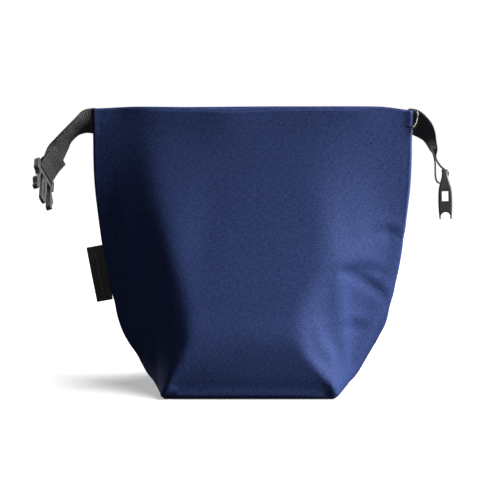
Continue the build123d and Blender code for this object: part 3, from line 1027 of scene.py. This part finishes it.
# ---- the sewn top corners
def corner_tack(name, side):
    """Close stitches through all the layers where the webbing's end is caught."""
    parts = []
    x = side * (SEAM_X - 4.5 * MM)
    for face in (FRONT, BACK):
        grid = SKIN[face]
        for k in range(11):
            z = STRAP_Z - 11 * MM + 2.2 * MM * k
            row = int(np.argmin(np.abs(fine_heights - z)))
            col = int(np.argmin(np.abs(grid[row, :, 0] - x)))
            foot = grid[row, col] + NORMALS[face][row, col] * 0.1 * MM
            lean = 0.6 * MM if k % 2 else -0.6 * MM
            start = foot + np.array([-1.1 * MM, 0, -lean / 2])
            end = foot + np.array([1.1 * MM, 0, lean / 2])
            parts.append(stitch_mesh(start, end, NORMALS[face][row, col], 0.4 * MM))
    points, faces = join_meshes(parts)
    obj = piece(name, points, faces, NAVY_THREAD)
    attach(obj, "crown")
    return obj


for word, side in (("left", -1), ("right", 1)):
    stands_for(corner_tack(f"corner_tack_{word}", side), "outer_fabric", f"seam_corner_{word}")


def cream_edge():
    """The cut edge of a pale layer that shows on the webbing beside the right corner."""
    points = [(162.6, -1.3, 274.4), (163.1, -1.5, 270.4), (162.4, -1.4, 266)]
    points += [(161, -1.3, 262), (158.6, -1.2, 258.2)]
    points = np.array(points) * MM
    wide = np.array([(0.2, -1.0, 0)] * len(points))
    line, wides = spaced(points, wide, 0.5 * MM)
    obj = ribbon("cream_cut_edge", line, wides, CREAM, half=0.7 * MM, thick=1.0 * MM, rib=0.03 * MM)
    swings_at_seam(obj, "right_strap", 1)


cream_edge()


# ---- the label
def label_piece():
    """A folded woven label with a raised border and a row of plain woven dashes."""
    joint = JOINTS["label_flap"]
    axis = unit(joint["axis"])
    middle = np.array(joint["pos_m"])
    width, length, thick = 16.2 * MM, 56 * MM, 1.0 * MM
    outwards = unit(np.cross(axis, (0, 1.0, 0)))
    if outwards[0] > 0:
        outwards = -outwards
    cols, rows = 22, 56
    layers = []
    for face in (1, -1):
        grid = np.zeros((rows, cols, 3))
        for r in range(rows):
            v = r / (rows - 1) - 0.5
            for c in range(cols):
                u = c / (cols - 1)
                fold = math.sqrt(max(0.0, 1 - max(0.0, (u - 0.93) / 0.07) ** 2))
                border = 0.12 * MM if (abs(v) > 0.46 or u > 0.90 or u < 0.1) else 0.0
                bow = 1.5 * MM * math.sin(u * 1.6) * (1 + 0.6 * math.sin(4.1 * v + 0.7))
                bow -= 0.8 * MM * u
                y = -bow + face * (thick / 2 + border) * fold
                along = outwards * (u * width - 1.5 * MM)
                grid[r, c] = middle + along + axis * v * length + np.array([0, y, 0])
        layers.append(grid)
    obj = slab_between("woven_label", layers[1], layers[0], FRONT, LABEL)
    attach(obj, "side_label")
    stands_for(obj, "label", "label")
    parts = []
    random.seed(SEED)
    place = -0.36
    front = layers[1]
    while place < 0.36:
        size = random.choice((0.018, 0.026, 0.04))
        ends = []
        for v in (place, place + size):
            r = (v + 0.5) * (rows - 1)
            lower = int(r)
            ends.append(front[lower, 11] * (1 - (r - lower)) + front[lower + 1, 11] * (r - lower))
        parts.append(stitch_mesh(ends[0], ends[1], np.array([0, -1.0, 0]), 0.45 * MM))
        place += size + 0.014
    points, faces = join_meshes(parts)
    dashes = piece("label_dashes", points, faces, PALE_THREAD)
    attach(dashes, "side_label")


label_piece()

# ---- the buckles keep their CAD shapes
for node in ("male_frame", "prong_rear", "prong_front", "female_housing"):
    obj = frame["nodes"][node]
    obj.data.materials.clear()
    obj.data.materials.append(PLASTIC)


# ---- floor, light and camera
def stage_floor():
    """A pale floor, bright to the camera only, so that it throws little light back on the bag."""
    mesh = bpy.data.meshes.new("floor")
    size = 12.0
    corners = [(-size, -size, 0), (size, -size, 0), (size, size, 0), (-size, size, 0)]
    mesh.from_pydata(corners, [], [(0, 1, 2, 3)])
    floor = bpy.data.objects.new("floor", mesh)
    bpy.context.scene.collection.objects.link(floor)
    material, tree, shader = new_material("pale floor")
    put(shader, {"Base Color": (0.9, 0.9, 0.9, 1), "Roughness": 0.9, "Specular IOR Level": 0.0})
    put(shader, {"Emission Color": (1, 1, 1, 1)})
    away = tree.nodes.new("ShaderNodeVectorMath")
    away.operation = "LENGTH"
    tree.links.new(object_vector(tree), away.inputs[0])
    glow = tree.nodes.new("ShaderNodeMapRange")
    glow.interpolation_type = "SMOOTHSTEP"
    put(glow, {"From Min": 0.35, "From Max": 1.3, "To Min": FLOOR_GLOW[0], "To Max": FLOOR_GLOW[1]})
    tree.links.new(away.outputs["Value"], glow.inputs["Value"])
    tree.links.new(glow.outputs["Result"], shader.inputs["Emission Strength"])
    dim = tree.nodes.new("ShaderNodeBsdfDiffuse")
    put(dim, {"Color": (0.08, 0.08, 0.08, 1)})
    path = tree.nodes.new("ShaderNodeLightPath")
    mix = tree.nodes.new("ShaderNodeMixShader")
    tree.links.new(path.outputs["Is Camera Ray"], mix.inputs[0])
    tree.links.new(dim.outputs[0], mix.inputs[1])
    tree.links.new(shader.outputs[0], mix.inputs[2])
    tree.links.new(mix.outputs[0], tree.nodes["Material Output"].inputs[0])
    floor.data.materials.append(material)
    floor.location.z = -0.0002
    return floor


def area_light(name, place, target, size, power):
    data = bpy.data.lights.new(name, "AREA")
    data.shape = "RECTANGLE"
    data.size = data.size_y = size
    data.energy = power
    light = bpy.data.objects.new(name, data)
    light.location = place
    light.rotation_euler = (Vector(target) - Vector(place)).to_track_quat("-Z", "Y").to_euler()
    bpy.context.scene.collection.objects.link(light)
    return light


def light_group(name, objects, state):
    group = bpy.data.collections.new(name)
    for obj in objects:
        group.objects.link(obj)
    for link in group.collection_objects:
        link.light_linking.link_state = state
    return group


def world_light():
    """White to the camera, dimmer in reflections, and only a breath of light otherwise."""
    world = bpy.data.worlds.new("studio")
    bpy.context.scene.world = world
    world.use_nodes = True
    tree = world.node_tree
    sky = tree.nodes["Background"]
    put(sky, {"Color": (1, 1, 1, 1)})
    path = tree.nodes.new("ShaderNodeLightPath").outputs
    seen = math_node(tree, "MULTIPLY_ADD", path["Is Glossy Ray"], WORLD_GLOSS, WORLD_DIM)
    strength = math_node(tree, "MAXIMUM", seen, path["Is Camera Ray"])
    tree.links.new(strength, sky.inputs["Strength"])


def camera():
    distance, elevation, seen = 1.3, math.radians(6), 0.5
    data = bpy.data.cameras.new("camera")
    data.sensor_width = 36
    data.lens = data.sensor_width * distance / seen
    cam = bpy.data.objects.new("camera", data)
    target = Vector((-0.0025, 0, 0.1364))
    cam.location = target + Vector((0, -math.cos(elevation), math.sin(elevation))) * distance
    cam.rotation_euler = (target - cam.location).to_track_quat("-Z", "Y").to_euler()
    bpy.context.scene.collection.objects.link(cam)
    bpy.context.scene.camera = cam


floor = stage_floor()
key = area_light("key", (1.24, -0.18, 0.88), (0, 0, 0.13), 0.7, 54)
key.light_linking.receiver_collection = light_group("not_floor", [floor], "EXCLUDE")
# the right strap and its buckle cast no shadow from the key
on_the_right = [right, right_loop, bpy.data.objects["right_bar_tack"], frame["nodes"]["female_housing"]]
key.light_linking.blocker_collection = light_group("casts_no_shadow", on_the_right, "EXCLUDE")
above = area_light("floor_light", (0.95, -0.12, 1.15), (0, 0, 0), 1.3, 56)
above.light_linking.receiver_collection = light_group("only_floor", [floor], "INCLUDE")
front = area_light("front_fill", (0.4, -1.9, 0.7), (0, 0, 0.12), 1.0, 1.5)
behind = area_light("behind", (-0.9, 1.5, 0.8), (0, 0, 0.12), 1.0, 22)
for light in (front, behind):
    light.light_linking.receiver_collection = light_group("not_floor", [floor], "EXCLUDE")
world_light()
camera()
bpy.context.scene.view_settings.view_transform = "Standard"
